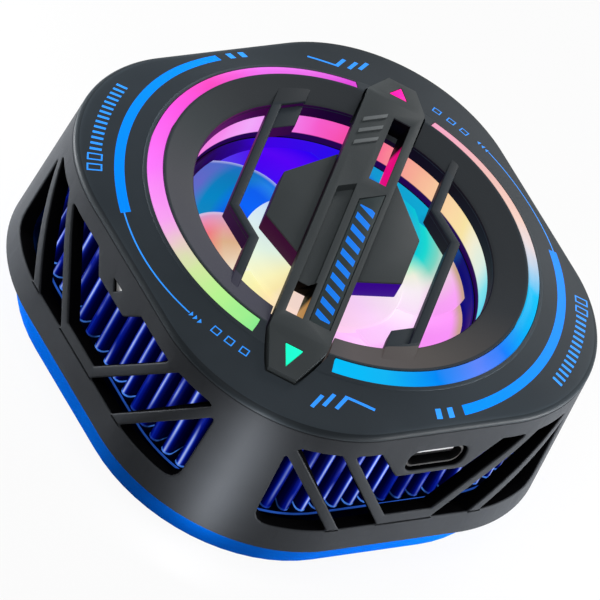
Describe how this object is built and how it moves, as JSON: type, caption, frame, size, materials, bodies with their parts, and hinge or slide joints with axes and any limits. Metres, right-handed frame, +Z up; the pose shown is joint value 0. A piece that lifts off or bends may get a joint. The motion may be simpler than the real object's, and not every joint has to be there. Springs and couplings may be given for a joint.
{
  "type": "phone cooling fan",
  "caption": "square clip-free phone cooler with round corners: lit fan under a bridged round inlet, vented sides over pleated fins, USB-C inlet and a magnetic cold plate underneath",
  "frame": {"origin": "centre of the contact face that lies on the phone, at the bottom of the part", "axes": "+Z up out of the phone through the fan's axis, -Y out of the side with the USB-C inlet, -X out of the side with the status light"},
  "size_m": [0.0678, 0.0678, 0.0316],
  "materials": {
    "cover_plastic": "satin, fine grain",
    "bar_plastic": "satin",
    "inlay_plastic": "semi-gloss",
    "housing_plastic": "satin, fine grain",
    "diffuser_left": "translucent, lit",
    "diffuser_right": "translucent, lit",
    "lens_green": "translucent, lit",
    "lens_pink": "translucent, lit",
    "glow_plastic": "translucent, lit",
    "clear_plastic": "frosted",
    "circuit_board": "solder mask",
    "led_white": "moulded",
    "steel": "plain",
    "black_plastic": "satin",
    "bronze": "sintered",
    "copper": "enamelled wire",
    "blade_plastic": "translucent gloss",
    "ferrite": "bonded",
    "blue_aluminium": "blue anodised",
    "ceramic": "ceramic",
    "foam": "closed cell",
    "bare_aluminium": "brushed",
    "plated_magnet": "nickel plated",
    "band_blue": "semi-gloss",
    "silicone": "matt",
    "screw_steel": "black zinc"
  },
  "bodies": {
    "body": {"top_cover": "cover_plastic", "light_ring_left": "diffuser_left", "light_ring_right": "diffuser_right", "bridge_bar": "bar_plastic", "name_plate": "inlay_plastic", "hub_plate": "bar_plastic", "arrow_lens_front": "lens_green", "arrow_lens_rear": "lens_pink", "glow_ring": "glow_plastic", "housing": "housing_plastic", "status_lens": "clear_plastic", "control_board": "circuit_board", "led_chips": "led_white", "usb_shell": "steel", "usb_tongue": "black_plastic", "fan_frame": "black_plastic", "bearing_bush": "bronze", "stator_core": "steel", "stator_coils": "copper", "motor_board": "circuit_board", "heat_sink": "blue_aluminium", "fin_pack": "blue_aluminium", "thermo_module": "ceramic", "foam_frame": "foam", "cold_plate": "bare_aluminium", "magnets": "plated_magnet", "shield_ring": "steel", "base_frame": "band_blue", "contact_pad": "silicone", "base_screws": "screw_steel", "bar_screws": "screw_steel"},
    "rotor": {"fan_rotor": "blade_plastic", "rotor_yoke": "steel", "rotor_magnet": "ferrite", "fan_shaft": "steel"}
  },
  "joints": [
    {"name": "fan_spin", "type": "hinge", "parent": "body", "child": "rotor", "pos_m": [0, 0, 0.018], "axis": [0, 0, 1], "continuous": true}
  ]
}
